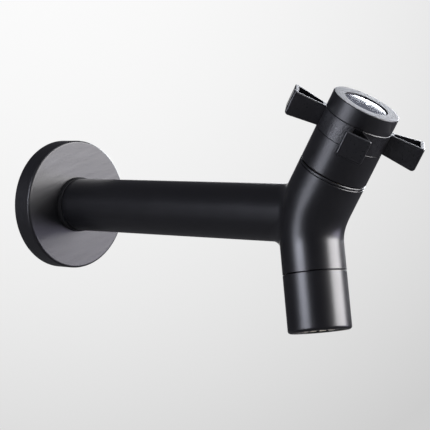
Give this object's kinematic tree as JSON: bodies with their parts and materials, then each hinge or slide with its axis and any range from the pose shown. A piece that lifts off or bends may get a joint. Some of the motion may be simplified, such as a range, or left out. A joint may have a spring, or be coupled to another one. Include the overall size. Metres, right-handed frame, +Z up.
{
  "type": "wall tap",
  "caption": "Wall-mounted outdoor tap: round flange, long straight tube, angled body with a cross handle above and an aerator outlet below, satin black.",
  "frame": {"origin": "centre of the inlet in the plane of the wall, which is the back of the flange", "axes": "+Y into the wall along the inlet, -Y along the tube away from the wall, +Z up, +X to the right seen from the front"},
  "size_m": [0.0616, 0.2187, 0.1041],
  "materials": {
    "black_coating": "satin black coating on brass",
    "brass": "machined brass",
    "black_rubber": "moulded rubber",
    "ceramic": "lapped alumina ceramic",
    "white_plastic": "moulded acetal",
    "stainless_steel": "stainless steel",
    "chrome": "polished chrome plate"
  },
  "bodies": {
    "faucet": {"valve_body": "black_coating", "inlet_tube": "black_coating", "inlet_nipple": "brass", "bonnet_ring": "black_coating", "cartridge_housing": "brass", "cartridge_o_ring": "black_rubber", "seat_seal": "black_rubber", "fixed_ceramic_disc": "ceramic", "aerator_housing": "black_coating", "spout_seal": "black_rubber", "aerator_washer": "black_rubber", "aerator_cage": "white_plastic", "aerator_diffuser": "white_plastic", "aerator_screen": "stainless_steel"},
    "handle": {"moving_ceramic_disc": "ceramic", "spindle": "brass", "thrust_washer": "white_plastic", "spindle_o_rings": "black_rubber", "spindle_circlip": "stainless_steel", "spline_bush": "brass", "handle_skirt": "black_coating", "cross_handle": "black_coating", "handle_cap": "black_coating", "screw_washer": "stainless_steel", "handle_screw": "stainless_steel", "medallion_clip": "white_plastic", "index_medallion": "chrome"},
    "flange": {"wall_flange": "black_coating", "flange_seal_ring": "black_rubber", "wall_gasket": "black_rubber"}
  },
  "joints": [
    {"name": "handle_turn", "type": "hinge", "parent": "faucet", "child": "handle", "pos_m": [0, -0.1575, -0.0022], "axis": [0, -0.5, 0.866], "range_deg": [0, 90]},
    {"name": "flange_slide", "type": "slide", "parent": "faucet", "child": "flange", "axis": [0, -1, 0], "range_m": [0, 0.12]}
  ]
}
